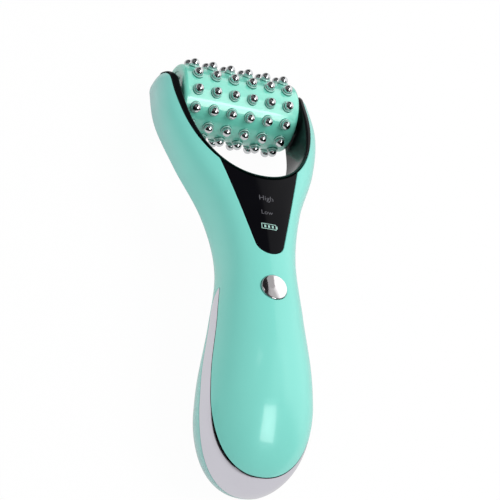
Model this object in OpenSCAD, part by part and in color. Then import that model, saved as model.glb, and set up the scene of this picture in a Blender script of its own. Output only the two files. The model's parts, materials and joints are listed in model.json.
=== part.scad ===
// Facial toning device: a studded roller on an axle in a fork, a display in the throat of the fork,
// a push button on the neck and a plated hand electrode round the tail of the grip.
// Every shape is drawn about the roller's axle (X along the axle, Y towards the head, Z out of the
// front) and then set down on the table, where the device lies on its studs and on its back.

/* [Grip] */
// From the roller's axle to the tail of the grip
handle_l = 184; // [178:1:190]
// Width of the grip at its fullest
grip_w = 45.4; // [43:0.2:49]
// Depth of the grip at its fullest
grip_d = 50; // [48:0.5:54]
// Width of the neck below the display
neck_w = 32.2; // [31:0.2:36]
// Depth of the neck below the display
neck_d = 32.4; // [31:0.2:36]
// Wall of the moulded shells
wall = 2.4; // [2:0.1:2.8]
// Reach of the plated electrode from the tail up the sides
electrode_l = 82; // [76:1:86]

/* [Fork] */
// Width over the two arms
fork_w = 72; // [71:0.2:78]
// Depth of the arms at the axle
arm_d = 23.5; // [22:0.5:27]
// From the axle to the bottom of the fork's mouth
mouth_l = 52; // [50:0.5:53]
// Liner thickness at the tips of the arms
liner_tip = 3; // [2.6:0.1:3.6]
// Liner thickness at the bottom of the mouth
liner_root = 2; // [1.6:0.1:2.4]
// How far the liner's rim stands proud of the shells
rim_proud = 0.3; // [0.1:0.05:0.5]

/* [Roller] */
// Diameter of the drum
drum_d = 30; // [28:0.5:31]
// Length of the drum
drum_l = 54; // [51:0.2:55]
// Wall of the drum
drum_wall = 3.6; // [3.2:0.1:4]
// Diameter of a stud's ball
ball_d = 4; // [3.4:0.1:4.4]
// How far a ball's top stands over the drum
ball_rise = 3.65; // [3.3:0.05:4]
// Rows of studs round the drum
ball_rows = 12; // [8:4:12]
// Studs in a row
row_studs = 6; // [4:1:6]
// From the drum's end to the first stud of a row
stud_margin = 6; // [5:0.1:7]
// Diameter of the axle
axle_d = 4; // [3.5:0.1:5]
// Air between the drum's ends and the liner
side_gap = 1.3; // [1.1:0.1:1.8]

/* [Controls] */
// Diameter of the push button
button_d = 11; // [9.6:0.2:12]
// From the axle to the push button
button_at = 108; // [106:0.5:110]
// How far the button travels
button_travel = 0.6; // [0.3:0.05:0.8]
// Width of the display across its top corners
display_top_w = 35; // [33:0.5:37]
// Width of the display across its bottom corners
display_low_w = 11.4; // [10:0.2:14]
// From the axle to the display's lower end
display_end = 92; // [89:0.5:95]
// Thickness of the display window
window_t = 1.2; // [1:0.1:1.4]

/* [Inside] */
// Diameter of the battery cell
cell_d = 14.2; // [13:0.1:15]
// Length of the battery cell
cell_l = 50; // [44:1:51]
// Thickness of the circuit board
board_t = 1.6; // [1:0.1:2]
// Width of the circuit board
board_w = 21; // [20:0.5:23]
// Diameter of the case screws' thread
screw_d = 2.6; // [2.2:0.1:3]
// Diameter of the charging plug's barrel
plug_d = 3.5; // [3:0.1:4]

/* [Clearances] */
// Radial clearance of a bush on the axle
run_gap = 0.05; // [0.03:0.01:0.08]
// Clearance round the button in its bore
button_gap = 0.2; // [0.12:0.02:0.3]
// Clearance round a piece that is set in by hand
fit_gap = 0.1; // [0.05:0.01:0.15]

/* [Hidden] */
$fn = 48;
big = 300;            // larger than the device

// The roller lies on two rows of studs, one each side of its lowest line.
ball_r = ball_d / 2;
drum_r = drum_d / 2;
axle_r = axle_d / 2;
stud_pitch = (drum_l - 2 * stud_margin) / (row_studs - 1);
stud_ring = drum_r + ball_rise - ball_r;
row_step = 360 / ball_rows;
axle_z = stud_ring * cos(row_step / 2) + ball_r;
axle_y = (handle_l - axle_z) / 2;   // the studs reach as far forward as down

// The body's plan and side view are smooth curves through evenly spaced stations, tail to tips.
// Heights are over the table, where the back of the grip rests.
tip_y = 15.5;
tail_round = 34;
tip_round = 11.5;
tip_power = 0.4;
curve_y0 = -handle_l - 6;
curve_y1 = 10;
g = grip_w / 2;
k = neck_w / 2;
h = fork_w / 2;
half_ws = [1.12 * g, 1.06 * g, g, k + 0.42 * (g - k), k, k + 0.21 * (h - k), k + 0.7 * (h - k), h, h - 0.3];
depths = [1.03 * grip_d, 0.99 * grip_d, grip_d, (grip_d + neck_d) / 2 - 0.7, neck_d, neck_d - 4.4,
    arm_d + 0.5, arm_d + 2, arm_d];
rear_rise = [-10.9, -2.4, 3.6, 13.1, 19.8, 22.1, 21.1, 12.6, 5.6];
waist_rise = [19.6, 27.6, 34.4, 24.6, 13.6];   // the widest line of the sides
bulges = [2.3, 2.1, 2.4, 3.6, 3.5];            // how square a section is
rest_land = 0.15;     // depth of the flat that the back rests on

function slope(v, i) = i == 0 ? v[1] - v[0]
    : i == len(v) - 1 ? v[i] - v[i - 1] : (v[i + 1] - v[i - 1]) / 2;
function between(v, i, t) = (2 * t^3 - 3 * t^2 + 1) * v[i] + (t^3 - 2 * t^2 + t) * slope(v, i)
    + (3 * t^2 - 2 * t^3) * v[i + 1] + (t^3 - t^2) * slope(v, i + 1);
function along(v, s) = let (i = max(0, min(len(v) - 2, floor(s)))) between(v, i, s - i);
function station(v, y) = along(v, (len(v) - 1) * (y - curve_y0) / (curve_y1 - curve_y0));
function round_off(q) = q > 0 ? sqrt(max(0, 1 - q^2)) : 1;
function tail_c(y, inset) = round_off((tail_round - handle_l + inset - y) / tail_round);
function tip_c(y, inset) = round_off((y - tip_y + inset + tip_round) / tip_round);

function back_at(y) = station(waist_rise, y)
    - (station(waist_rise, y) - station(rear_rise, y)) * tail_c(y, 0);
sink = min([for (y = [2 - handle_l : 1 : -handle_l / 2]) back_at(y)]) + rest_land + axle_z;
function rear(y) = station(rear_rise, y) - sink;
function waist(y) = station(waist_rise, y) - sink;
function front(y) = rear(y) + station(depths, y);

// A section of the body, drawn in by inset all round
function bend(v, e) = sign(v) * pow(abs(v), e);
function section(y, inset, n) = let (
    tail = tail_c(y, inset), tip = tip_c(y, inset), e = 2 / station(bulges, y), m = waist(y),
    w = (station(half_ws, y) - inset) * tail * pow(tip, tip_power),
    up = (front(y) - inset - m) * tail * tip, down = (m - rear(y) - inset) * tail * tip)
    [for (i = [0 : n - 1]) let (a = 360 * i / n, s = sin(a))
        [w * bend(cos(a), e), y, m + (s > 0 ? up : down) * bend(s, e)]];

// Closes a stack of sections from the point at y0 to the point at y1.
module loft(ys, inset, n, y0, y1) {
    rings = [for (y = ys) each section(y, inset, n)];
    last = len(ys) - 1;
    polyhedron(concat(rings, [[0, y0, waist(y0)], [0, y1, waist(y1)]]), [
        for (i = [0 : n - 1]) [len(rings), (i + 1) % n, i],
        for (j = [0 : last - 1], i = [0 : n - 1]) let (a = j * n + i, b = j * n + (i + 1) % n)
            each [[a, b, b + n], [a, b + n, a + n]],
        for (i = [0 : n - 1]) [len(rings) + 1, last * n + i, last * n + (i + 1) % n]]);
}
function tail_ys(inset) = [for (a = [12 : 13 : 77]) inset - handle_l + tail_round * (1 - cos(a))];
function middle_ys(inset, y1, steps) = let (y0 = inset + tail_round - handle_l)
    [for (i = [0 : steps]) y0 + (y1 - y0) * i / steps];
function tip_ys(inset) = [for (a = [75 : -15 : 15]) tip_y - inset - tip_round * (1 - cos(a))];

// The whole body, or the stretch of it between y0 and y1
module body(inset = 0, y0 = -big, y1 = big) {
    all_ys = concat(tail_ys(inset), middle_ys(inset, tip_y - inset - tip_round, 20), tip_ys(inset));
    ys = [for (y = all_ys) if (y > y0 && y < y1) y];
    loft(ys, inset, 36, y0 > -big ? ys[0] : inset - handle_l,
        y1 < big ? ys[len(ys) - 1] : tip_y - inset);
}
cavity_y1 = -mouth_l - liner_root - 8;
module cavity() {
    ys = concat(tail_ys(wall), middle_ys(wall, cavity_y1, 12));
    loft(ys, wall, 28, wall - handle_l, cavity_y1);
}

// The fork's mouth, a squared ellipse that runs out between the arms and opens at their tips, where
// the liner's two faces meet
mouth_half = drum_l / 2 + side_gap;
inner_mouth = [mouth_half, mouth_l, 2.3];
outer_mouth = [mouth_half + liner_tip, mouth_l + liner_root, 2.1];
flare_y = 2;          // where the opening begins
flare_l = 7.8;
flare_w = 5;          // how far each side opens
module mouth(m, grow = 0) {
    e = 2 / m[2];
    opening = mouth_half + flare_w - m[0];
    half = concat(
        [for (t = [0 : 7.5 : 90]) [(m[0] + grow) * bend(sin(t), e), -(m[1] + grow) * bend(cos(t), e)]],
        [for (t = [0 : 15 : 90]) [m[0] + grow + opening * (1 - cos(t)), flare_y + flare_l * sin(t)]],
        [[mouth_half + flare_w + grow, big]]);
    linear_extrude(big, center = true)
        polygon(concat(half, [for (i = [len(half) - 1 : -1 : 1]) [-half[i][0], half[i][1]]]));
}
function mouth_y(x) = -outer_mouth[1] * pow(1 - pow(x / outer_mouth[0], outer_mouth[2]), 1 / outer_mouth[2]);

// Side view: the plated band lies between two seams that run from the tail to its point. Beyond
// the point one seam low on the sides parts the front shell from the rear shell.
front_lift = [9.2, 9.7, 7.4, 2.9];
rear_lift = [-8.1, 0.6, -1.2, -5.5];
point_round = 9;
point_y = electrode_l - handle_l;
low_share = 0.45;
seam_step = electrode_l / 15;
function band_front(y) = waist(y) + along(front_lift, 3 * (y + handle_l) / electrode_l);
function band_rear(y) = waist(y) + along(rear_lift, 3 * (y + handle_l) / electrode_l);
function low_seam(y) = waist(y) - low_share * (waist(y) - rear(y));
front_edge = [for (y = [-handle_l - seam_step : seam_step : point_y - 1]) [y, band_front(y)]];
rear_edge = [for (y = [-handle_l - seam_step : seam_step : point_y - point_round - 1]) [y, band_rear(y)]];
point_arc = let (y = point_y - point_round, z = band_rear(y), rise = band_front(point_y) - z)
    [for (a = [90 : -15 : 0]) [y + point_round * sin(a), z + rise * (1 - cos(a))]];
low_edge = [for (i = [0 : 14]) let (y = point_y - point_round + (tip_y + point_round - point_y) * i / 14)
    [y, low_seam(y)]];
function backwards(v) = [for (i = [len(v) - 1 : -1 : 0]) v[i]];

module side_prism(points) {
    rotate([90, 0, 90]) linear_extrude(big, center = true) polygon(points);
}
module band_zone() {
    side_prism(concat(front_edge, point_arc, backwards(rear_edge)));
}
module rear_zone() {
    end = point_arc[len(point_arc) - 1];
    side_prism(concat(rear_edge, [end], low_edge,
        [[tip_y + 1, low_seam(tip_y)], [tip_y + 1, -axle_z], [-handle_l - seam_step, -axle_z]]));
}
module front_zone() {
    side_prism(concat([[-handle_l - seam_step, big / 2]], front_edge, point_arc, low_edge,
        [[tip_y + 1, low_seam(tip_y)], [tip_y + 1, big / 2]]));
}

module place() {
    translate([0, axle_y, axle_z]) children();
}
module both_sides() {
    children();
    mirror([1, 0, 0]) children();
}
module bar(r, z0, z1) {
    translate([0, 0, z0]) cylinder(r = r, h = z1 - z0);
}
module bar_x(r, x0, x1) {
    rotate([0, 90, 0]) bar(r, x0, x1);
}

// Screws: two pairs through the back of the case, four from behind the circuit board
screw_r = screw_d / 2;
head_r = 0.92 * screw_d;
head_t = 0.46 * screw_d;
screw_l = 12;
screw_room_gap = 0.2;
post_wall = 1.4;
post_r = head_r + post_wall;
seat_t = 1.5;         // what a screw's head clamps
grip_screw = [0.57 * g, tail_round - handle_l];
neck_screw = [mouth_half / 2, -outer_mouth[1] - screw_d];
grip_seat = band_rear(grip_screw[1]) - seat_t;
neck_seat = low_seam(neck_screw[1]) - seat_t;
module at(spot) {
    translate([spot[0], spot[1], 0]) children();
}
module screw_room(spot, seat) {
    at(spot) {
        bar(head_r + screw_room_gap, -big, seat);
        bar(screw_r + screw_room_gap, -big, seat + 2 * seat_t);
        bar(screw_r, 0, seat + screw_l + seat_t);
    }
}

// Controls, set out from the top of the body at the button
board_sink = 12.6;    // depth of the board's face under the button
board_top = front(-button_at) - board_sink;
board_low = board_top - board_t;
board_y0 = -button_at - 2 * button_d;
board_y1 = cavity_y1 - 2;
board_screw_r = 0.8;
board_rim = 3 * board_screw_r;
board_spots = [for (x = [-1, 1], y = [board_y0 + 2.5 * board_rim, board_y1 - 10 * board_rim])
    [x * (board_w / 2 - board_rim), y]];
button_r = button_d / 2;
collar_t = 1.8;
collar_low = front(-button_at) - wall - collar_t;
flange_t = 0.9;
flange_w = 1;
flange_top = collar_low - fit_gap;
flange_low = flange_top - flange_t;
light_y = -display_end + 12;      // the battery's three marks
light_step = (cavity_y1 - 4 - light_y) / 2;   // up to the two words
mark_step = 2.1;
light_spots = [[0, light_y + 2 * light_step], [0, light_y + light_step], [-mark_step, light_y], [0, light_y],
    [mark_step, light_y]];
pipe_r = 0.8;

module front_posts() {
    both_sides() at(grip_screw) bar(post_r, -big, big / 2);
    translate([0, -button_at, 0]) bar(button_r + button_gap + collar_t, collar_low, big / 2);
    for (p = board_spots) at(p) bar(board_screw_r + post_wall, board_top, big / 2);
}

// Seen from the front the window is a V with a rounded end, cut off by the liner's rim.
corner_r = 3;         // the V's lower corners
end_r = 6.5;          // the bulge of its lower edge
top_run = 9;          // how far its sides run on under the liner
window_y0 = -display_end - 2 * end_r;
window_y1 = -mouth_l + 3 * top_run;
module window_outline(grow) {
    top_y = mouth_y(display_top_w / 2);
    flare = (display_top_w - display_low_w) / 2 / (display_end - corner_r + top_y);
    translate([0, 0, waist(-display_end)]) linear_extrude(big / 2) offset(delta = grow) hull() {
        for (x = [-1, 1]) translate([x * (display_low_w / 2 - corner_r), -display_end + 1.5 * corner_r])
            circle(r = corner_r);
        translate([0, -display_end + end_r]) circle(r = end_r);
        translate([0, top_y + top_run]) square([display_top_w + 2 * flare * top_run, fit_gap], center = true);
    }
}

module front_shell() {
    color("#86dcc8") place() difference() {
        intersection() {
            body();
            difference() {
                front_zone();
                difference() {
                    cavity();
                    front_posts();
                }
            }
        }
        mouth(outer_mouth);
        difference() {
            window_outline(fit_gap);
            body(window_t + fit_gap, window_y0, window_y1);
        }
        translate([0, -button_at, 0]) bar(button_r + button_gap, 0, big / 2);
        for (p = light_spots) at(p) bar(pipe_r + fit_gap, 0, big / 2);
        for (p = board_spots) at(p) bar(board_screw_r, board_top - 1, board_top + 5);
        both_sides() screw_room(grip_screw, grip_seat);
        both_sides() screw_room(neck_screw, neck_seat);
        axle_room();
        strip_path(fit_gap);
    }
}

// Charging socket, let into the lower side of the tail
socket_tilt = 45;
socket_run = 8.3;     // from the tail and from the table to the socket's mouth
socket_rise = 3.4;
socket_wall = 1.3;
socket_mouth = [0, socket_run - handle_l, socket_rise - axle_z];
socket_r = plug_d / 2 + socket_wall;
socket_body_r = socket_r + socket_wall;
socket_nose = 3.2;
socket_l = 11;
module at_socket() {
    translate(socket_mouth) rotate([-90 + socket_tilt, 0, 0]) children();
}

module rear_posts() {
    both_sides() at(grip_screw) bar(post_r, -big, band_front(grip_screw[1]));
    at_socket() bar(socket_body_r + fit_gap + socket_wall, -socket_body_r, 2 * socket_nose);
}
module cell_ribs() {
    for (y = [cell_y0 + cell_l / 10, cell_y1 - cell_l / 4])
        translate([-g, y, -axle_z]) cube([2 * g, 0.75 * wall, cell_z + axle_z]);
}
module rear_shell() {
    color("#7fd3c0") place() difference() {
        intersection() {
            body();
            union() {
                difference() {
                    rear_zone();
                    cavity();
                }
                intersection() {
                    union() {
                        rear_posts();
                        cell_ribs();
                    }
                    translate([-big / 2, -big / 2, -axle_z]) cube(big);
                }
            }
        }
        mouth(outer_mouth);
        translate([0, cell_y0 - 1, cell_z]) rotate([-90, 0, 0]) cylinder(r = cell_d / 2 + fit_gap, h = cell_l + 2);
        both_sides() screw_room(grip_screw, grip_seat);
        both_sides() screw_room(neck_screw, neck_seat);
        at_socket() {
            bar(socket_r + fit_gap, -socket_l, 2 * socket_nose);
            bar(socket_body_r + fit_gap, socket_nose, big / 4);
        }
    }
}

module hand_electrode() {
    color("#d6d2d4") place() intersection() {
        difference() {
            body(0, -big, point_y + 2 * seam_step);
            cavity();
        }
        band_zone();
    }
}

// The axle ends half way through the shells' arms.
seat_gap = 0.02;      // between pieces that are pressed together
axle_seat = (mouth_half + liner_tip + h) / 2;
washer_r = axle_r + 2.2;
washer_t = 0.4;
module axle_room() {
    bar_x(axle_r + seat_gap, -axle_seat, axle_seat);
}
module fork_liner() {
    color("#15161a") place() difference() {
        intersection() {
            body(-rim_proud, -outer_mouth[1] - 2 * seam_step);
            mouth(outer_mouth);
        }
        mouth(inner_mouth);
        axle_room();
        bar_x(washer_r + fit_gap, -mouth_half, mouth_half);
    }
}

module display_window() {
    color("#0c0c10") place() difference() {
        intersection() {
            body(0, window_y0, window_y1);
            window_outline(0);
        }
        body(window_t, window_y0, window_y1);
        mouth(outer_mouth);
    }
}

// Light pipes from the board to the underside of the window, joined by a plate
plate_y0 = light_y - 4;
plate_y1 = cavity_y1 - 1;
plate_top = front(light_spots[0][1] + 4) - wall - 0.5;
module light_guide() {
    color("#d8e8ea") place() {
        for (p = light_spots)
            at(p) bar(pipe_r, board_top + 1, front(p[1]) - window_t - fit_gap - 0.1);
        translate([-4.5, plate_y0, plate_top - 1.2]) cube([9, plate_y1 - plate_y0, 1.2]);
    }
}

module button_cap() {
    top = front(-button_at) + 0.9;
    dome_r = 22;
    color("#c9c6c8") place() translate([0, -button_at, 0]) {
        intersection() {
            bar(button_r, flange_low, top);
            translate([0, 0, top - dome_r]) sphere(r = dome_r, $fn = 96);
        }
        bar(button_r + flange_w, flange_low, flange_top);
        bar(plunger_r + fit_gap, switch_top + seat_gap, flange_low);
    }
}
switch_t = 3.4;
switch_w = 6;
plunger_r = 1.5;
switch_top = board_top + switch_t + 2 * button_travel;
module switch_plunger() {
    color("#2a2a2c") place() translate([0, -button_at, 0]) bar(plunger_r, switch_top - 2, switch_top);
}
module switch_body() {
    color("#b9bcc0") place() translate([0, -button_at, 0]) difference() {
        translate([-switch_w / 2, -switch_w / 2, board_top]) cube([switch_w, switch_w, switch_t]);
        bar(plunger_r + fit_gap, switch_top - 2 - 2 * button_travel, switch_top);
    }
}
module button_pad() {
    pad_t = 0.9;
    pad_z = flange_low - seat_gap - board_top;
    r = button_r;
    color("#e8e8e6") place() translate([0, -button_at, board_top]) rotate_extrude()
        polygon([[r, 0], [r + 2 * pad_t, 0], [r + 2 * pad_t, pad_t], [r + pad_t, pad_t], [r + pad_t / 2, pad_z],
            [r - pad_t / 2, pad_z], [r, pad_t]]);
}

module main_board() {
    color("#1f6b45") place() difference() {
        translate([-board_w / 2, board_y0, board_low]) cube([board_w, board_y1 - board_y0, board_t]);
        for (p = board_spots) at(p) bar(board_screw_r + 0.2, board_low - 1, board_top + 1);
    }
}
module board_screws() {
    color("#c4c4c4") place() for (p = board_spots) at(p) {
        bar(board_screw_r, board_low, board_top + 4);
        bar(1.6, board_low - 1.1, board_low);
    }
}
module board_chips() {
    chips = [[-3, -20, 5, 5, 1.1], [4, -19, 3, 4, 1.3], [-4, 12, 4, 6, 1.2], [3, 13, 5, 4, 1.6]];
    color("#26272a") place() for (c = chips)
        translate([c[0] - c[2] / 2, c[1] - button_at, board_top]) cube([c[2], c[3], c[4]]);
}
module indicator_leds() {
    color("#f4f1da") place() for (p = light_spots) at(p)
        translate([-0.7, -0.8, board_top]) cube([1.4, 1.6, 0.8]);
}
module step_up_coil() {
    t = 5;
    r = 4;
    rim = 0.8;
    color("#8a4b2a") place() translate([0, -button_at + 2 * r, board_low - t]) rotate_extrude()
        polygon([[0, 0], [r, 0], [r, rim], [r - rim, 1.5 * rim], [r - rim, t - 1.5 * rim], [r, t - rim], [r, t], [0, t]]);
}

cell_y0 = -handle_l + 22;
cell_y1 = cell_y0 + cell_l;
cell_z = rear(cell_y1) + wall + cell_d / 2 + 0.6;
module battery_cell() {
    color("#3d6fb0") place() translate([0, cell_y0, cell_z]) rotate([-90, 0, 0]) {
        cylinder(r = cell_d / 2, h = cell_l - 1.2);
        cylinder(r = 2.6, h = cell_l);
    }
}
module battery_pad() {
    low = cell_z + cell_d / 2;
    color("#55575a") place() translate([-5, board_y0 + 1, low]) cube([10, 11, board_low - low]);
}

module charging_socket() {
    color("#222326") place() at_socket() difference() {
        union() {
            bar(socket_r, 0.4, 2 * socket_nose);
            bar(socket_body_r, socket_nose + seat_gap, socket_l);
        }
        difference() {
            bar(plug_d / 2 + fit_gap, 0, socket_l - 1.5);
            bar(plug_d / 5, 1.5, socket_l);
        }
    }
}

module case_screw(seat) {
    bar(head_r, seat - head_t, seat);
    bar(screw_r, seat - head_t / 2, seat + screw_l);
}
module case_screws() {
    color("#9a9a9c") place() both_sides() {
        at(grip_screw) case_screw(grip_seat);
        at(neck_screw) case_screw(neck_seat);
    }
}

// Leads inside the handle: bars with a ball at each turn
lead_r = 0.6;
lead_room = 1;        // air between a lead and the cell
module lead(points) {
    for (i = [0 : len(points) - 2]) {
        d = points[i + 1] - points[i];
        translate(points[i]) rotate([0, acos(d[2] / norm(d)), atan2(d[1], d[0])]) cylinder(r = lead_r, h = norm(d));
        if (i > 0) translate(points[i]) sphere(r = 1.1 * lead_r, $fn = 24);
    }
}
module wire_leads() {
    side = cell_d / 2 + lead_room;
    tail = cell_y0 - lead_r - lead_room;
    head = cell_y1 + lead_r + lead_room;
    end = board_y0 + board_w / 2;
    color("#b8322a") place() {
        lead([[0, cell_y1, cell_z], [0, head, cell_z], [0, head, board_low]]);
        lead([[0, cell_y0, cell_z], [0, tail, cell_z], [side, tail, cell_z + side / 2],
            [side, end, cell_z + side / 2], [side, end, board_low]]);
    }
}

strip_w = 3;
strip_t = 0.5;
module strip_path(gap) {
    end_y = board_y1 - strip_w;
    drop = atan((board_low - strip_w / 2 - fit_gap) / -end_y);   // ends under the board
    intersection() {
        union() {
            intersection() {
                difference() {
                    mouth(outer_mouth, strip_t + gap);
                    mouth(outer_mouth, -gap);
                }
                translate([0, -big - axle_r - seat_gap, -big / 2]) cube(big);
            }
            translate([-strip_w / 2 - gap, end_y, -big / 2]) cube([strip_w + 2 * gap, -outer_mouth[1] - end_y, big]);
        }
        rotate([-drop, 0, 0]) translate([-strip_w / 2 - gap, -big / 2, -strip_w / 2 - gap])
            cube([big / 2, big, strip_w + 2 * gap]);
    }
}
module contact_strip() {
    color("#c98b4a") place() strip_path(0);
}

module axle() {
    color("#b8bcc2") place() bar_x(axle_r, fit_gap - axle_seat, axle_seat - fit_gap);
}
module contact_washers() {
    color("#cfa85a") place() both_sides() difference() {
        bar_x(washer_r, mouth_half - washer_t, mouth_half);
        bar_x(axle_r + seat_gap, 0, mouth_half + 1);
    }
}

bush_wall = 1.2;
bush_r = axle_r + bush_wall;
bush_l = 5;
flange_run = side_gap - washer_t - 0.3;   // the bush's flange, short of the washer
cap_l = 4;
cap_sink = 0.4;
dish = 1.2;           // hollow in the outer face of a cap
sleeve_r = drum_r - drum_wall;
sleeve_t = 0.6;
module axle_bush() {
    difference() {
        union() {
            bar_x(bush_r, drum_l / 2 - bush_l, drum_l / 2);
            bar_x(bush_r + bush_wall, drum_l / 2 - cap_sink, drum_l / 2 + flange_run);
        }
        bar_x(axle_r + run_gap, 0, drum_l);
    }
}
module axle_bush_left() {
    color("#e9e4d6") place() mirror([1, 0, 0]) axle_bush();
}
module axle_bush_right() {
    color("#e9e4d6") place() axle_bush();
}
module roller_cap() {
    difference() {
        bar_x(sleeve_r - seat_gap, drum_l / 2 - cap_l, drum_l / 2 - cap_sink);
        bar_x(bush_r + seat_gap, 0, drum_l);
        difference() {
            bar_x(sleeve_r - 2, drum_l / 2 - cap_sink - dish, drum_l);
            bar_x(bush_r + 2 * bush_wall, 0, drum_l);
        }
    }
}
module roller_cap_left() {
    color("#8fe0cd") place() mirror([1, 0, 0]) roller_cap();
}
module roller_cap_right() {
    color("#8fe0cd") place() roller_cap();
}
module contact_sleeve() {
    reach = drum_l / 2 - cap_l;
    color("#c98b4a") place() difference() {
        bar_x(sleeve_r, -reach, reach);
        bar_x(sleeve_r - sleeve_t, -drum_l, drum_l);
    }
}

// Every stud sits in a raised collar on the drum
collar_r = ball_r + 0.5;
collar_rise = ball_rise - ball_r - 0.95;
module each_stud() {
    for (row = [0 : ball_rows - 1], i = [0 : row_studs - 1])
        rotate([row_step * (row + 0.5), 0, 0]) translate([stud_pitch * (i - (row_studs - 1) / 2), 0, 0]) children();
}
module roller_drum() {
    edge_r = drum_wall / 2;
    half = drum_l / 2;
    arc = [for (a = [0 : 15 : 90]) [drum_r - edge_r + edge_r * cos(a), half - edge_r + edge_r * sin(a)]];
    color("#93e4d0") place() difference() {
        union() {
            rotate([0, 90, 0]) rotate_extrude($fn = 96)
                polygon(concat([[sleeve_r, -half], [sleeve_r, half]], backwards(arc),
                    [for (p = arc) [p[0], -p[1]]]));
            each_stud() translate([0, 0, drum_r - 0.4])
                cylinder(r1 = collar_r + 0.1, r2 = collar_r - 0.1, h = collar_rise + 0.4, $fn = 24);
        }
        each_stud() rotate_extrude($fn = 24) polygon([[0, sleeve_r - 1], [shank_r, sleeve_r - 1],
            [shank_r, stud_ring - ball_r], [pocket_r, stud_ring - ball_r], [pocket_r, stud_ring], [0, stud_ring]]);
    }
}
shank_r = 0.6;
pocket_r = ball_r - 0.2;
module ball_studs() {
    color("#b9bcc0") place() each_stud() {
        translate([0, 0, stud_ring]) sphere(r = ball_r, $fn = 32);
        bar(shank_r, sleeve_r, stud_ring);
    }
}

front_shell();
rear_shell();
hand_electrode();
fork_liner();
display_window();
light_guide();
button_cap();
button_pad();
switch_body();
switch_plunger();
main_board();
board_chips();
indicator_leds();
step_up_coil();
battery_cell();
battery_pad();
charging_socket();
case_screws();
board_screws();
wire_leads();
contact_strip();
axle();
contact_washers();
axle_bush_left();
axle_bush_right();
roller_drum();
roller_cap_left();
roller_cap_right();
contact_sleeve();
ball_studs();
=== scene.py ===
import json
import math

import bpy
import numpy as np
from mathutils import Matrix, Vector


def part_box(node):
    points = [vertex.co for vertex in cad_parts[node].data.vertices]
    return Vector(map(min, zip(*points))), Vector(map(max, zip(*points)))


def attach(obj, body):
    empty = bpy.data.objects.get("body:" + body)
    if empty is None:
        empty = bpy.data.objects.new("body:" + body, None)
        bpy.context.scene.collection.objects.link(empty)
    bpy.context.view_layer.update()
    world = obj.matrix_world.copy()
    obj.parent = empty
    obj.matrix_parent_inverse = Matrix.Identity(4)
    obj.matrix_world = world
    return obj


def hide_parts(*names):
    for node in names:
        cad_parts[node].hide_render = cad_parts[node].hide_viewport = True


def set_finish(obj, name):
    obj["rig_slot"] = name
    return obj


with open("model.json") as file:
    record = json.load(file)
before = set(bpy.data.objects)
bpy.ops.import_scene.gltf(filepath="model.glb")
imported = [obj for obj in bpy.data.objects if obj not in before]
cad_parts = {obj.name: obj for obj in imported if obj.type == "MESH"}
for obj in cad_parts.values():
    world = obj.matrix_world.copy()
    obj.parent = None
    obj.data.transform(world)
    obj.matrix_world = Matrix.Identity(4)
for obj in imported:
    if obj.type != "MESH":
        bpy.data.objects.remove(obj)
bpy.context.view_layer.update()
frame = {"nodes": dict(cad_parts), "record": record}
axleLow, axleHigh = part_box("axle")
axle = (np.array(axleLow) + np.array(axleHigh)) * 500   # mm; the shapes below are drawn about it
print("frame in place")


# body form: the same curves as the part, in mm about the axle

handle = {
    "length": 184, "halfGrip": 22.7, "gripDepth": 50, "halfNeck": 16.1, "neckDepth": 32.4,
    "halfFork": 36, "armDepth": 23.5, "tipY": 15.5, "tailRound": 34, "tipRound": 11.5, "tipPower": 0.4,
    "restLand": 0.15, "electrode": 82, "pointRound": 9, "lowShare": 0.45,
}
length = handle["length"]
halfGrip, halfNeck, halfFork = handle["halfGrip"], handle["halfNeck"], handle["halfFork"]
gripDepth, neckDepth, armDepth = handle["gripDepth"], handle["neckDepth"], handle["armDepth"]
stationFrom, stationTo = -length - 6, 10    # the lists below give values at even stations, tail to tips
halfWidths = [1.12 * halfGrip, 1.06 * halfGrip, halfGrip, halfNeck + 0.42 * (halfGrip - halfNeck), halfNeck,
              halfNeck + 0.21 * (halfFork - halfNeck), halfNeck + 0.7 * (halfFork - halfNeck), halfFork,
              halfFork - 0.3]
depths = [1.03 * gripDepth, 0.99 * gripDepth, gripDepth, (gripDepth + neckDepth) / 2 - 0.7, neckDepth,
          neckDepth - 4.4, armDepth + 0.5, armDepth + 2, armDepth]
rearRise = [-10.9, -2.4, 3.6, 13.1, 19.8, 22.1, 21.1, 12.6, 5.6]
waistRise = [19.6, 27.6, 34.4, 24.6, 13.6]
bulges = [2.3, 2.1, 2.4, 3.6, 3.5]


def along(values, s):
    # a smooth curve through the values, which stand at s = 0, 1, 2 and so on
    values = np.asarray(values, float)
    s = np.asarray(s, float)
    i = np.clip(np.floor(s).astype(int), 0, len(values) - 2)
    slopes = np.gradient(values)
    t = s - i
    return ((2 * t**3 - 3 * t**2 + 1) * values[i] + (t**3 - 2 * t**2 + t) * slopes[i]
            + (3 * t**2 - 2 * t**3) * values[i + 1] + (t**3 - t**2) * slopes[i + 1])


def station(values, y):
    return along(values, (len(values) - 1) * (y - stationFrom) / (stationTo - stationFrom))


def roundOff(q):
    # 1 up to q = 0, then a quarter circle down to 0 at q = 1
    return np.where(q > 0, np.sqrt(np.clip(1 - q * q, 0, None)), 1.0)


backYs = np.arange(2 - length, -length / 2, 1.0)
backs = station(waistRise, backYs) - (station(waistRise, backYs) - station(rearRise, backYs)) * roundOff(
    (handle["tailRound"] - length - backYs) / handle["tailRound"])
sink = backs.min() + handle["restLand"] + axle[2]


def rear(y):
    return station(rearRise, y) - sink


def waist(y):
    return station(waistRise, y) - sink


def front(y):
    return rear(y) + station(depths, y)


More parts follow.
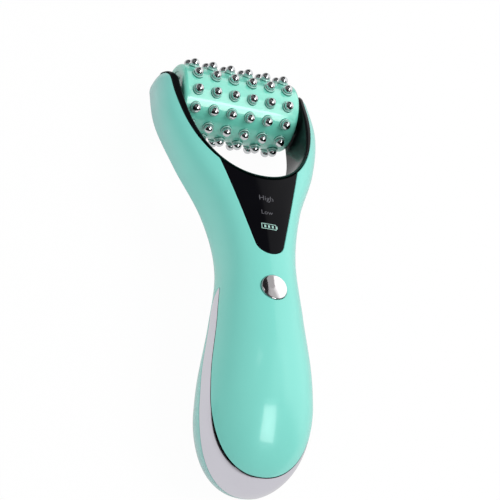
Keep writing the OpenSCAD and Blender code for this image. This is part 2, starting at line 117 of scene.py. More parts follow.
def skin(v, t, inset=0.0):
    # v runs 0..1 over the tail, 1..2 along the handle, 2..3 over the tips; t is the angle round a section
    v, t = np.broadcast_arrays(np.asarray(v, float), np.asarray(t, float))
    tailTo = inset - length + handle["tailRound"]
    tipFrom = handle["tipY"] - inset - handle["tipRound"]
    tail = np.where(v < 1, np.sin(np.clip(v, 0, 1) * math.pi / 2), 1.0)
    tip = np.where(v > 2, np.sin(np.clip(3 - v, 0, 1) * math.pi / 2), 1.0)
    y = np.where(v < 1, tailTo - handle["tailRound"] * np.cos(np.clip(v, 0, 1) * math.pi / 2),
                 np.where(v > 2, tipFrom + handle["tipRound"] * np.cos(np.clip(3 - v, 0, 1) * math.pi / 2),
                          tailTo + (tipFrom - tailTo) * (v - 1)))
    p = station(bulges, y)
    c, s = np.cos(t), np.sin(t)
    r = (np.abs(c) ** p + np.abs(s) ** p) ** (-1 / p)
    m = waist(y)
    w = (station(halfWidths, y) - inset) * tail * tip ** handle["tipPower"]
    rise = np.where(s > 0, front(y) - inset - m, m - rear(y) - inset) * tail * tip
    return np.stack([w * c * r, y, m + rise * s * r], -1)


def skinNormal(v, t, inset=0.0):
    v = np.clip(np.asarray(v, float), 0.004, 2.996)
    d = 1e-3
    ahead = skin(np.clip(v + d, 0, 3), t, inset) - skin(np.clip(v - d, 0, 3), t, inset)
    across = skin(v, t + d, inset) - skin(v, t - d, inset)
    n = np.cross(across, ahead)
    n /= np.linalg.norm(n, axis=-1, keepdims=True) + 1e-12
    p = skin(v, t, inset)
    out = p - np.stack([0 * p[..., 0], p[..., 1], waist(p[..., 1])], -1)
    n[(n * out).sum(-1) < 0] *= -1
    return n


def skinHeight(x, y, inset=0.0, side=1):
    # height of the body's skin over the point x, y, on the front (side 1) or on the back (side -1)
    x, y = np.broadcast_arrays(np.asarray(x, float), np.asarray(y, float))
    tail = roundOff((handle["tailRound"] - length + inset - y) / handle["tailRound"])
    tip = roundOff((y - handle["tipY"] + inset + handle["tipRound"]) / handle["tipRound"])
    p = station(bulges, y)
    m = waist(y)
    w = (station(halfWidths, y) - inset) * tail * tip ** handle["tipPower"]
    rise = (front(y) - inset - m if side > 0 else rear(y) + inset - m) * tail * tip
    q = np.clip(1 - (np.abs(x) / np.maximum(w, 1e-6)) ** p, 0, None)
    return m + rise * q ** (1 / p)


# where one moulding meets the next

frontLift = [9.2, 9.7, 7.4, 2.9]
rearLift = [-8.1, 0.6, -1.2, -5.5]
pointY = handle["electrode"] - length
bladeY = pointY - handle["pointRound"]
mouth = {"half": 28.3, "depth": 52, "power": 2.3, "tipWall": 3, "rootWall": 2, "outerPower": 2.1, "proud": 0.3,
         "flareFrom": 2, "flareLength": 7.8, "flare": 5}
display = {"top": 35, "low": 11.4, "end": 92, "cornerRound": 3, "endRound": 6.5, "topRun": 9}
knob = {"y": -108, "radius": 5.5, "gap": 0.2, "rise": 0.9, "domeRadius": 22, "corner": 0.55}


def bandFront(y):
    return waist(y) + along(frontLift, 3 * (y + length) / handle["electrode"])


def bandRear(y):
    return waist(y) + along(rearLift, 3 * (y + length) / handle["electrode"])


def lowSeam(y):
    return waist(y) - handle["lowShare"] * (waist(y) - rear(y))


def inBlade(y, z):
    # the rounded end of the band: above 0 inside its quarter ellipse
    topZ = bandFront(np.array(float(pointY)))
    rise = topZ - bandRear(np.array(float(bladeY)))
    q = np.sqrt((np.clip(y - bladeY, 0, None) / handle["pointRound"]) ** 2
                + (np.clip(topZ - z, 0, None) / rise) ** 2)
    return (1 - q) * handle["pointRound"]


def inBand(p):
    y, z = p[..., 1], p[..., 2]
    low = np.where(y > bladeY, inBlade(y, z), z - bandRear(np.minimum(y, bladeY)))
    return np.minimum(bandFront(y) - z, low)


def inFront(p):
    y, z = p[..., 1], p[..., 2]
    over = z - bandFront(y)
    ahead = np.minimum(z - lowSeam(y), -inBlade(y, z))
    return np.where(y > bladeY, np.where(y < pointY, np.maximum(over, ahead), z - lowSeam(y)), over)


def inRear(p):
    y, z = p[..., 1], p[..., 2]
    return np.where(y > bladeY, lowSeam(y), bandRear(np.minimum(y, bladeY))) - z


def flared(y, opening):
    q = np.clip((y - mouth["flareFrom"]) / mouth["flareLength"], 0, 1)
    return opening * (1 - np.sqrt(1 - q * q))


def beyondMouth(p, half, depth, power):
    # distance outside the mouth's outline, seen from the front
    def level(x, y):
        x = np.clip(np.abs(x) - flared(y, mouth["half"] + mouth["flare"] - half), 0, None)
        return (((x / half) ** power + (np.clip(-y, 0, None) / depth) ** power) ** (1 / power) - 1) * half
    x, y, d = p[..., 0], p[..., 1], 0.02
    here = level(x, y)
    steep = np.hypot(level(x + d, y) - level(x - d, y), level(x, y + d) - level(x, y - d)) / (2 * d)
    return here / np.maximum(steep, 0.3)


def beyondOuter(p):
    return beyondMouth(p, mouth["half"] + mouth["tipWall"], mouth["depth"] + mouth["rootWall"],
                       mouth["outerPower"])


def beyondInner(p):
    return beyondMouth(p, mouth["half"], mouth["depth"], mouth["power"])


outerHalf = mouth["half"] + mouth["tipWall"]
displayTopShare = 1 - (display["top"] / 2 / outerHalf) ** mouth["outerPower"]
displayTopY = -(mouth["depth"] + mouth["rootWall"]) * displayTopShare ** (1 / mouth["outerPower"])


def displayOutline(steps=10):
    # hull of the two lower corners, the bulge between them and the wide end under the liner
    flare = (display["top"] - display["low"]) / 2 / (display["end"] - display["cornerRound"] + displayTopY)
    corner, bulge = display["cornerRound"], display["endRound"]
    spots = []
    for x, y, r in ((display["low"] / 2 - corner, -display["end"] + 1.5 * corner, corner),
                    (0, -display["end"] + bulge, bulge)):
        for i in range(8 * steps):
            a = 2 * math.pi * i / (8 * steps)
            spots += [(x + r * math.cos(a), y + r * math.sin(a)), (-x + r * math.cos(a), y + r * math.sin(a))]
    wide = display["top"] / 2 + flare * display["topRun"]
    spots += [(wide, displayTopY + display["topRun"]), (-wide, displayTopY + display["topRun"])]
    spots = sorted(set(spots))

    def half(points):
        chain = []
        for q in points:
            while len(chain) > 1 and ((chain[-1][0] - chain[-2][0]) * (q[1] - chain[-2][1])
                                      - (chain[-1][1] - chain[-2][1]) * (q[0] - chain[-2][0])) <= 0:
                chain.pop()
            chain.append(q)
        return chain[:-1]
    return np.array(half(spots) + half(spots[::-1]))


displayHull = displayOutline()


def inDisplay(p, grow=0.0):
    # signed distance to the display's outline seen from the front, above 0 inside
    q = p[..., :2]
    a, b = displayHull, np.roll(displayHull, -1, 0)
    d = b - a
    n = np.stack([-d[:, 1], d[:, 0]], -1) / np.linalg.norm(d, axis=1, keepdims=True)
    best = np.full(q.shape[:-1], 1e9)
    for i in range(len(a)):
        best = np.minimum(best, (q - a[i]) @ n[i])
    return np.where(p[..., 2] > waist(p[..., 1]), best, -9.0) + grow


def toRow(points):
    return (np.asarray(points, float) + axle) * 0.001


def makeMesh(name, points, faces, normals=None):
    mesh = bpy.data.meshes.new(name)
    spots = toRow(points)
    spots[:, 2] = np.maximum(spots[:, 2], 0)
    mesh.from_pydata([tuple(p) for p in spots], [], [tuple(int(i) for i in f) for f in faces])
    mesh.polygons.foreach_set("use_smooth", [True] * len(mesh.polygons))
    if normals is not None:
        mesh.normals_split_custom_set_from_vertices([tuple(n) for n in normals])
    mesh.update()
    piece = bpy.data.objects.new(name, mesh)
    bpy.context.scene.collection.objects.link(piece)
    return piece


def skinPanel(keep, vs, ts, inset=0.0, edge=0.35, wall=1.5, around=False):
    # the stretch of skin where keep is above 0, with a rounded rim and a wall standing in from it
    rows, cols = len(vs), len(ts)
    vAll, tAll = np.meshgrid(vs, ts, indexing="ij")
    vAll, tAll = vAll.ravel().copy(), tAll.ravel().copy()

    roundAt = edge if callable(edge) else lambda p: np.full(p.shape[:-1], float(edge))

    def level(v, t):
        p = skin(v, t, inset)
        return keep(p) - roundAt(p)
    levels = level(vAll, tAll)
    index = np.arange(rows * cols).reshape(rows, cols)
    right = np.roll(index, -1, 1) if around else index[:, 1:]
    left = index if around else index[:, :-1]
    tAhead = np.where(tAll[right.ravel()] < tAll[left.ravel()], 2 * math.pi, 0)
    pairsA = np.concatenate([left.ravel(), index[:-1].ravel()])
    pairsB = np.concatenate([right.ravel(), index[1:].ravel()])
    lift = np.concatenate([tAhead, np.zeros(index[:-1].size)])
    crossing = (levels[pairsA] > 0) != (levels[pairsB] > 0)
    a, b, lift = pairsA[crossing], pairsB[crossing], lift[crossing]
    va, ta, vb, tb = vAll[a], tAll[a], vAll[b], tAll[b] + lift
    lo, hi = np.zeros(len(a)), np.ones(len(a))
    signA = levels[a] > 0
    for _ in range(16):
        mid = (lo + hi) / 2
        same = (level(va + (vb - va) * mid, ta + (tb - ta) * mid) > 0) == signA
        lo, hi = np.where(same, mid, lo), np.where(same, hi, mid)
    at = (lo + hi) / 2
    crossV, crossT = va + (vb - va) * at, ta + (tb - ta) * at
    # the grid point nearer to each crossing moves onto the edge
    state = np.where(levels > 0, 1, -1)
    nearest = np.minimum(at, 1 - at)
    for i in np.argsort(nearest):
        if state[a[i]] == 0 or state[b[i]] == 0:
            continue
        moved, back = (a[i], 0) if at[i] < 0.5 else (b[i], lift[i])
        vAll[moved], tAll[moved] = crossV[i], crossT[i] - back
        state[moved] = 0
    quads = np.stack([left[:-1].ravel(), right[:-1].ravel(), right[1:].ravel(), left[1:].ravel()], 1)
    faces = []
    states = state[quads]
    outs = (states < 0).sum(1)
    ins = (states > 0).sum(1)
    for quad, corners, outside, inside in zip(quads, states, outs, ins):
        if inside > 0 and outside == 0:
            faces.append(list(quad))
        elif inside > 0 and outside == 1:
            faces.append([q for q, one in zip(quad, corners) if one >= 0])
    skinAt, normalAt = skin(vAll, tAll, inset), skinNormal(vAll, tAll, inset)
    used = {}
    for f in faces:
        for i, j in zip(f, f[1:] + f[:1]):
            used[(i, j)] = used.get((i, j), 0) + 1
    rim = [(i, j) for (i, j) in used if (j, i) not in used]
    outward = {}
    for i, j in rim:
        if np.linalg.norm(skinAt[j] - skinAt[i]) < 1e-6:
            continue
        t = np.cross(skinAt[j] - skinAt[i], normalAt[i] + normalAt[j])
        t /= np.linalg.norm(t) + 1e-12
        for q in (i, j):
            outward[q] = outward.get(q, 0) + t
    # the side a face lies on tells which way is out
    faceOf = {}
    for f in faces:
        middle = skinAt[f].mean(0)
        for i, j in zip(f, f[1:] + f[:1]):
            if (j, i) not in used:
                faceOf[(i, j)] = middle
    votes = 0
    for (i, j), middle in list(faceOf.items())[:200]:
        t = np.cross(skinAt[j] - skinAt[i], normalAt[i])
        votes += 1 if t @ (middle - skinAt[i]) > 0 else -1
    turn = -1 if votes > 0 else 1
    points, normals = list(skinAt), list(normalAt)
    rounds = roundAt(skinAt)
    rings = {}
    steps = [(math.sin(x), 1 - math.cos(x), x) for x in np.radians((18, 36, 54, 72, 90))]
    for q, t in outward.items():
        t = turn * t
        t -= (t @ normalAt[q]) * normalAt[q]
        t /= np.linalg.norm(t) + 1e-12
        ring = [q]
        for out, down, x in steps:
            ring.append(len(points))
            points.append(skinAt[q] + t * rounds[q] * out - normalAt[q] * rounds[q] * down)
            normals.append(normalAt[q] * math.cos(x) + t * math.sin(x))
        ring.append(len(points))
        points.append(skinAt[q] + t * rounds[q] - normalAt[q] * wall)
        normals.append(t)
        rings[q] = ring
    for i, j in rim:
        if i in rings and j in rings:
            for s in range(len(steps) + 1):
                faces.append([rings[j][s], rings[i][s], rings[i][s + 1], rings[j][s + 1]])
    keepIds = sorted({i for f in faces for i in f})
    renumber = {old: new for new, old in enumerate(keepIds)}
    points = np.array([points[i] for i in keepIds])
    normals = np.array([normals[i] for i in keepIds])
    faces = [[renumber[i] for i in f] for f in faces]
    # faces look outward
    vote = sum(float(np.cross(points[f[1]] - points[f[0]], points[f[2]] - points[f[0]]) @ normals[f[0]])
               for f in faces)
    if vote < 0:
        faces = [f[::-1] for f in faces]
    return points, faces, normals


def fitPiece(piece, body, slot, *nodes):
    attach(piece, body)
    if nodes:
        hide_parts(*nodes)
    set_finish(piece, slot)
    return piece


def joined(parts):
    # several point, face and normal lists as one
    points, faces, normals = [], [], []
    for p, f, n in parts:
        start = sum(len(q) for q in points)
        points.append(np.asarray(p, float))
        normals.append(np.asarray(n, float))
        faces += [[i + start for i in face] for face in f]
    return np.concatenate(points), faces, np.concatenate(normals)


def lathe(profile, steps=48, axis="z", centre=(0, 0, 0), smooth=40):
    # profile: radius, height pairs from the outside end to the other; corners sharper than smooth stay crisp
    line = [np.array(q, float) for q in profile]
    rows = []
    for i, q in enumerate(line):
        before = line[i] - line[i - 1] if i else None
        after = line[i + 1] - line[i] if i + 1 < len(line) else None
        sides = []
        for d in (before, after):
            if d is not None and np.linalg.norm(d) > 1e-9:
                n = np.array([d[1], -d[0]])
                sides.append(n / np.linalg.norm(n))
        if len(sides) == 2:
            angle = math.degrees(math.acos(max(-1, min(1, float(sides[0] @ sides[1])))))
            if angle < smooth:
                both = sides[0] + sides[1]
                rows.append((q, both / np.linalg.norm(both), True))
            else:
                rows += [(q, sides[0], True), (q, sides[1], False)]
        else:
            rows.append((q, sides[0], True))
    points, normals, faces = [], [], []
    for q, n, _ in rows:
        for s in range(steps):
            a = 2 * math.pi * s / steps
            ca, sa = math.cos(a), math.sin(a)
            points.append((q[0] * ca, q[0] * sa, q[1]))
            normals.append((n[0] * ca, n[0] * sa, n[1]))
    for r in range(len(rows) - 1):
        if not rows[r + 1][2]:
            continue
        for s in range(steps):
            a, b = r * steps + s, r * steps + (s + 1) % steps
            faces.append([a, b, b + steps, a + steps])
    points, normals = np.array(points), np.array(normals)
    if axis == "x":
        turn = np.array([[0, 0, 1], [1, 0, 0], [0, 1, 0]], float)
        points, normals = points @ turn.T, normals @ turn.T
    return points + np.array(centre, float), faces, normals


def arc(x, y, radius, first, last, steps=6):
    angles = [math.radians(first + (last - first) * i / steps) for i in range(steps + 1)]
    return [(x + radius * math.cos(a), y + radius * math.sin(a)) for a in angles]


def spread(v0, v1, step):
    # even steps of v for rings about step mm apart
    span = (handle["tailRound"] * 1.3, length + handle["tipY"] - handle["tailRound"] - handle["tipRound"],
            handle["tipRound"] * 1.4)
    out = []
    for part in range(3):
        lo, hi = max(v0, part), min(v1, part + 1)
        if hi > lo:
            n = max(2, int(round(span[part] * (hi - lo) / step)))
            out += [lo + (hi - lo) * i / n for i in range(n)]
    return np.array(out + [v1])


def vAt(y, inset=0.0):
    # the v of skin() at which y lies, between the tail and the tips
    tailTo = inset - length + handle["tailRound"]
    tipFrom = handle["tipY"] - inset - handle["tipRound"]
    return 1 + (y - tailTo) / (tipFrom - tailTo)


aroundTs = np.linspace(0, 2 * math.pi, 241)[:-1]
ringStep = 0.75


# front moulding

shell = {"edge": 0.3, "wall": 2.2, "windowGap": 0.12, "linerGap": 0.05}


def shellEdge(p):
    # the rounding of the shells' rims, finer where the arm's mint runs out beside the liner
    y = p[..., 1]
    tip = roundOff((y - handle["tipY"] + handle["tipRound"]) / handle["tipRound"])
    left = station(halfWidths, y) * tip ** handle["tipPower"] - outerHalf - flared(
        y, mouth["half"] + mouth["flare"] - outerHalf)
    return np.where(y > 0, np.clip(0.3 * left, 0.02, shell["edge"]), shell["edge"])


def keepFront(p):
    q = np.minimum(inFront(p), beyondOuter(p) - shell["linerGap"])
    q = np.minimum(q, -inDisplay(p, shell["windowGap"]))
    bore = np.hypot(p[..., 0], p[..., 1] - knob["y"]) - knob["radius"] - knob["gap"]
    return np.minimum(q, np.where(p[..., 2] > waist(p[..., 1]), bore, 9))


frontShell = makeMesh("frontShell", *skinPanel(keepFront, spread(0, 3, ringStep), aroundTs, 0, shellEdge,
                                               shell["wall"], True))
fitPiece(frontShell, "housing", "mint_shell", "front_shell")
print("front moulding")


# back moulding with its screw wells and the socket's hole

# spots: x, y and the height of the seat under the screw's head
wells = {"spots": ((0.57 * halfGrip, -length + 34, 7.26), (mouth["half"] / 2, -56.6, 5.97)), "radius": 2.592,
         "steps": 32, "socketY": -length + 8.3, "socketZ": -axle[2] + 3.4, "socketRadius": 3.15, "socketReach": 30}


def keepRear(p):
    q = np.minimum(inRear(p), beyondOuter(p) - shell["linerGap"])
    low = p[..., 2] < waist(p[..., 1])
    for x, y, _ in wells["spots"]:
        hole = np.hypot(np.abs(p[..., 0]) - x, p[..., 1] - y) - wells["radius"]
        q = np.minimum(q, np.where(low, hole, 9))
    ahead, over = p[..., 1] - wells["socketY"], p[..., 2] - wells["socketZ"]
    hole = np.hypot(p[..., 0], (ahead - over) * math.sqrt(0.5)) - wells["socketRadius"]
    return np.minimum(q, np.where(low & (p[..., 1] < -length + wells["socketReach"]), hole, 9))


parts = [skinPanel(keepRear, spread(0, 3, ringStep), aroundTs, 0, shellEdge, shell["wall"], True)]
count = wells["steps"]
for x, y, seat in wells["spots"]:
    for side in (-1, 1):
        ring = []
        for a in (2 * math.pi * i / count for i in range(count)):
            ring.append((side * x + wells["radius"] * math.cos(a), y + wells["radius"] * math.sin(a),
                         math.cos(a), math.sin(a)))
        points = [(q[0], q[1], float(skinHeight(q[0], q[1], 0, -1)) + 0.2) for q in ring]
        points += [(q[0], q[1], seat) for q in ring]
        normals = [(-q[2], -q[3], 0) for q in ring] * 2
        faces = [[i, count + i, count + (i + 1) % count, (i + 1) % count] for i in range(count)]
        parts.append((np.array(points), faces, np.array(normals)))
rearShell = makeMesh("rearShell", *joined(parts))
fitPiece(rearShell, "housing", "mint_shell", "rear_shell")
print("back moulding")


# plated band round the tail

band = {"inset": 0.05, "edge": 0.22, "edgeShare": 0.05, "leastEdge": 0.1, "wall": 1.5, "gap": 0.03,
        "step": 0.6}


def bandEdge(p):
    # the rounding of its rim, finer where the band runs to its point
    wide = bandFront(p[..., 1]) - bandRear(np.minimum(p[..., 1], bladeY))
    return np.clip(band["edgeShare"] * wide, band["leastEdge"], band["edge"])


plated = makeMesh("platedBand", *skinPanel(
    lambda p: inBand(p) - band["gap"], spread(0, vAt(pointY + 2), band["step"]), aroundTs, band["inset"], bandEdge,
    band["wall"], True))
fitPiece(plated, "housing", "plated_band", "hand_electrode")


# black display window and the liner of the mouth

glass = {"inset": 0.08, "edge": 0.25, "wall": 1.0, "from": -94, "to": -30, "step": 0.5}
windowTs = np.radians(np.linspace(20, 160, 161))
window = makeMesh("displayWindow", *skinPanel(
    lambda p: np.minimum(inDisplay(p), beyondOuter(p) - shell["linerGap"]),
    spread(vAt(glass["from"]), vAt(glass["to"]), glass["step"]), windowTs, glass["inset"], glass["edge"],
    glass["wall"]))
fitPiece(window, "housing", "display_black", "display_window")

liner = {"inset": -mouth["proud"], "edge": 0.25, "wall": 0.4, "lip": 1.3, "lipShare": 0.6, "from": -60,
         "fineStep": 0.4, "turns": 900}


def lipAt(p):
    # width of the rounding on the mouth's side, less where the wall runs out at the tips
    return np.clip(liner["lipShare"] * (beyondInner(p) - beyondOuter(p)), 0.05, liner["lip"])


def linerEdge(p):
    # the rounding of its outer rim; the inner rim meets the lip
    return np.where(beyondInner(p) < -beyondOuter(p), 0.02, liner["edge"])


linerTs = np.linspace(0, 2 * math.pi, liner["turns"] + 1)[:-1]
linerParts = [skinPanel(lambda p: np.minimum(beyondInner(p) - lipAt(p) + 0.05, -beyondOuter(p)),
                        spread(vAt(liner["from"], liner["inset"]), 3, liner["fineStep"]), linerTs, liner["inset"],
                        linerEdge, liner["wall"], True)]


def innerWall():
    # the mouth's inner face from the front rim to the back rim with both lips, left tip to right tip
    share = 2 / mouth["power"]
    line = [(mouth["half"] * math.copysign(abs(math.sin(a)) ** share, math.sin(a)),
             -mouth["depth"] * math.cos(a) ** share) for a in np.radians(np.linspace(-90, 90, 241))]
    tips = [(mouth["half"] + mouth["flare"] * (1 - math.cos(a)),
             mouth["flareFrom"] + mouth["flareLength"] * math.sin(a)) for a in np.radians(np.linspace(0, 90, 25))]
    flat = np.array([(-x, y) for x, y in tips[::-1]] + line + tips)
    step = np.gradient(flat, axis=0)
    out = np.stack([-step[:, 1], step[:, 0]], -1)
    out /= np.linalg.norm(out, axis=1, keepdims=True)
    flatNormal = np.column_stack([out, np.zeros(len(out))])
    width = lipAt(np.column_stack([flat, np.zeros(len(flat))]))
    d, lips = 0.05, []
    for side in (1, -1):
        lip = []
        for a in np.radians(np.linspace(0, 90, 9)):
            x, y = (flat - out * (width * (1 - math.sin(a)))[:, None]).T
            z = skinHeight(x, y, liner["inset"], side)
            slope = np.stack([skinHeight(x + d, y, liner["inset"], side) - z,
                              skinHeight(x, y + d, liner["inset"], side) - z, np.full(len(x), -d)], -1) * -side
            slope /= np.linalg.norm(slope, axis=1, keepdims=True)
            normal = slope * math.cos(a) + flatNormal * math.sin(a)
            lip.append((np.stack([x, y, z - side * width * (1 - math.cos(a))], -1), normal))
        lips.append(lip)
    top, low = lips[0][-1][0], lips[1][-1][0]
    low[:, 2] = np.minimum(low[:, 2], top[:, 2])
    rings = lips[0] + [(top + (low - top) * i / 5, flatNormal) for i in range(6)] + lips[1][::-1]
    count = len(flat)
    faces = [[r * count + i, r * count + i + 1, (r + 1) * count + i + 1, (r + 1) * count + i]
             for r in range(len(rings) - 1) for i in range(count - 1)]
    return np.concatenate([q for q, _ in rings]), faces, np.concatenate([n for _, n in rings])


linerParts.append(innerWall())
forkLiner = makeMesh("forkLiner", *joined(linerParts))
fitPiece(forkLiner, "housing", "black_trim", "fork_liner")
print("band, window and liner")


# words and battery picture, printed on the window

# words: text, x, y and width
labels = {"lift": 0.03, "words": (("High", 0.13, -65.0, 6.2), ("Low", -0.19, -71.9, 5.0)),
          "battery": {"x": 0, "y": -78.9, "width": 6.6, "height": 2.7, "line": 0.32, "nub": 0.55, "bar": 0.85}}


def onGlass(name, flat, faces):
    # a flat figure laid on the window
    flat = np.array(flat, float)
    z = skinHeight(flat[:, 0], flat[:, 1], glass["inset"]) + labels["lift"]
    piece = makeMesh(name, np.column_stack([flat, z]), faces)
    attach(piece, "housing")
    return piece


def word(text, x, y, width):
    # the faces of a short text, scaled to a width and centred on x, y
    curve = bpy.data.curves.new(text, "FONT")
    curve.body = text
    curve.resolution_u = 3
    sign = bpy.data.objects.new(text, curve)
    bpy.context.scene.collection.objects.link(sign)
    shape = sign.to_mesh()
    flat = np.array([v.co[:2] for v in shape.vertices])
    faces = [list(f.vertices) for f in shape.polygons]
    sign.to_mesh_clear()
    bpy.data.objects.remove(sign)
    low, high = flat.min(0), flat.max(0)
    return (flat - (low + high) / 2) * width / (high[0] - low[0]) + (x, y), faces


def battery(look):
    # an outline with a nub at its right and three bars
    w, t, line, nub = look["width"] / 2, look["height"] / 2, look["line"], look["nub"]
    cuts = np.linspace(-w, w, 13)
    boxes = [(x0, y0, x1, y0 + line) for x0, x1 in zip(cuts, cuts[1:]) for y0 in (-t, t - line)]
    boxes += [(-w, -t, line - w, t), (w - line, -t, w, t), (w, -t / 2, w + nub, t / 2)]
    for i in (-1, 0, 1):
        middle = i * (w - line) * 0.56
        boxes.append((middle - look["bar"] / 2, -t + 2.2 * line, middle + look["bar"] / 2, t - 2.2 * line))
    flat = [(x + look["x"], y + look["y"]) for x0, y0, x1, y1 in boxes
            for x, y in ((x0, y0), (x1, y0), (x1, y1), (x0, y1))]
    return flat, [[4 * i, 4 * i + 1, 4 * i + 2, 4 * i + 3] for i in range(len(boxes))]


signs = [onGlass("printed" + text, *word(text, x, y, width)) for text, x, y, width in labels["words"]]
icon = onGlass("printedBattery", *battery(labels["battery"]))


# push button

knobTop = float(front(np.array(float(knob["y"])))) + knob["rise"]
corner = knob["corner"]
dome = [(0.0, knobTop)] + [(r, knobTop - r * r / (2 * knob["domeRadius"])) for r in (1.2, 2.4, 3.4, 4.3, 4.8)]
shoulder = arc(knob["radius"] - corner, knobTop - corner - corner, corner, 62, 0, 5)
profile = dome + shoulder + [(knob["radius"], knobTop - 3.2), (knob["radius"] + 0.2, knobTop - 4)]
button = makeMesh("pushButton", *lathe(profile[::-1], 72, "z", (0, knob["y"], 0)))
fitPiece(button, "button", "chrome_button", "button_cap")


# roller: drum, a collar at every stud, and the balls

roller = {"radius": 15, "half": 27, "edge": 1.8, "bore": 11.4, "collar": 2.42, "collarRise": 0.9, "ball": 2,
          "ring": 16.65, "pitch": 8.4, "rows": 12, "inRow": 6}
radius, half, edge, bore = roller["radius"], roller["half"], roller["edge"], roller["bore"]
outline = [(bore, -half + 1.8), (bore, -half), (bore + 0.15, -half)]
outline += arc(radius - edge, -half + edge, edge, -90, 0, 10) + [(radius, -half / 2), (radius, 0), (radius, half / 2)]
outline += arc(radius - edge, half - edge, edge, 0, 90, 10) + [(bore + 0.15, half), (bore, half), (bore, half - 1.8)]
drumParts = [lathe(outline, 160, "x")]
ballParts = []
foot, top = roller["collar"], radius + roller["collarRise"]
collarLine = ([(foot + 0.35, radius - 0.4), (foot + 0.14, radius - 0.02), (foot + 0.04, radius + 0.2)]
              + arc(foot - 0.2, top - 0.2, 0.2, 0, 90, 4) + [(foot - 0.45, top - 0.14), (1.5, radius + 0.1)])
ballLine = arc(0, 0, roller["ball"], -70, 90, 16)
for row in range(roller["rows"]):
    tilt = math.radians(360 / roller["rows"] * (row + 0.5))
    turn = np.array([[1, 0, 0], [0, math.cos(tilt), -math.sin(tilt)], [0, math.sin(tilt), math.cos(tilt)]])
    for i in range(roller["inRow"]):
        shift = np.array([roller["pitch"] * (i - (roller["inRow"] - 1) / 2), 0, 0])
        points, faces, normals = lathe(collarLine, 32)
        drumParts.append((points @ turn.T + shift, faces, normals @ turn.T))
        points, faces, normals = lathe(ballLine, 32)
        centre = shift + turn @ np.array([0, 0, roller["ring"]])
        ballParts.append((points @ turn.T + centre, faces, normals @ turn.T))
drum = makeMesh("rollerDrum", *joined(drumParts))
fitPiece(drum, "roller", "mint_roller", "roller_drum")
balls = makeMesh("studBalls", *joined(ballParts))
fitPiece(balls, "roller", "stud_chrome", "ball_studs")
print("roller and button")


class Wire:
    # a socket that takes part in sums: numbers add Math nodes
    def __init__(self, finish, socket):
        self.finish, self.socket = finish, socket

    def maths(self, operation, a, b):
        return self.finish.add("ShaderNodeMath", {"operation": operation}, {0: a, 1: b})

    def __add__(self, other):
        return self.maths("ADD", self, other)

    def __sub__(self, other):
        return self.maths("SUBTRACT", self, other)

    def __rsub__(self, other):
        return self.maths("SUBTRACT", other, self)

    def __mul__(self, other):
        return self.maths("MULTIPLY", self, other)

    def __truediv__(self, other):
        return self.maths("DIVIDE", self, other)

    def __rtruediv__(self, other):
        return self.maths("DIVIDE", other, self)

    def raised(self, power):
        return self.maths("POWER", self, power)

    def __abs__(self):
        return self.maths("ABSOLUTE", self, 0.0)

    def __or__(self, other):
        # the larger of the two
        return self.maths("MAXIMUM", self, other)

    __radd__, __rmul__ = __add__, __mul__


class Nodes:
    # a node tree: add() makes any node from its type, settings and sockets
    def __init__(self, tree):
        self.tree = tree

    def add(self, kind, settings=None, sockets=None, output=0):
        node = self.tree.nodes.new(kind)
        for name, value in (settings or {}).items():
            setattr(node, name, value)
        for name, value in (sockets or {}).items():
            self.feed(node.inputs[name], value)
        return Wire(self, node.outputs[output])

    def feed(self, socket, value):
        if isinstance(value, Wire):
            self.tree.links.new(value.socket, socket)
        else:
            socket.default_value = value

    def turned(self, vector, direction):
        # how far a vector points along a direction
        return self.add("ShaderNodeVectorMath", {"operation": "DOT_PRODUCT"}, {0: vector, 1: direction},
                        "Value")

    def step(self, value, low, high):
        # 0 below low, 1 above high, smooth between
        return self.add("ShaderNodeMapRange", {"interpolation_type": "SMOOTHSTEP"}, {
            "Value": value, "From Min": low, "From Max": high})

    def noise(self, size, detail=3.0, vector=None):
        # a random pattern about size mm across
        return self.add("ShaderNodeTexNoise", {}, {"Vector": vector or self.place(), "Scale": 1 / size,
                                                   "Detail": detail})

    def place(self):
        # the surface point in mm
        point = self.add("ShaderNodeTexCoord", output="Object")
        return self.add("ShaderNodeVectorMath", {"operation": "SCALE"}, {"Vector": point, "Scale": 1000.0})

    def blend(self, factor, a, b):
        return self.add("ShaderNodeMix", {"data_type": "RGBA"}, {"Factor": factor, "A": a, "B": b}, "Result")


class Finish(Nodes):
    # a material; what is the same all over it is set on the shader's own sockets
    def __init__(self, name, **constants):
        self.material = bpy.data.materials.new(name)
        self.material.use_nodes = True
        super().__init__(self.material.node_tree)
        self.shader = self.tree.nodes["Principled BSDF"]
        for socket, value in constants.items():
            self.shader.inputs[socket.replace("_", " ")].default_value = value

    def set(self, socket, value):
        self.feed(self.shader.inputs[socket], value)

    def bump(self, height, depth, strength=1.0):
        self.set("Normal", self.add("ShaderNodeBump", {}, {"Height": height, "Distance": depth * 0.001,
                                                           "Strength": strength}))


def srgb(r, g, b):
    one = [v / 255 for v in (r, g, b)]
    return tuple(v / 12.92 if v < 0.04045 else ((v + 0.055) / 1.055) ** 2.4 for v in one) + (1.0,)


def span(wire, low, high):
    # a 0..1 pattern turned into low..high
    return wire * (high - low) + low


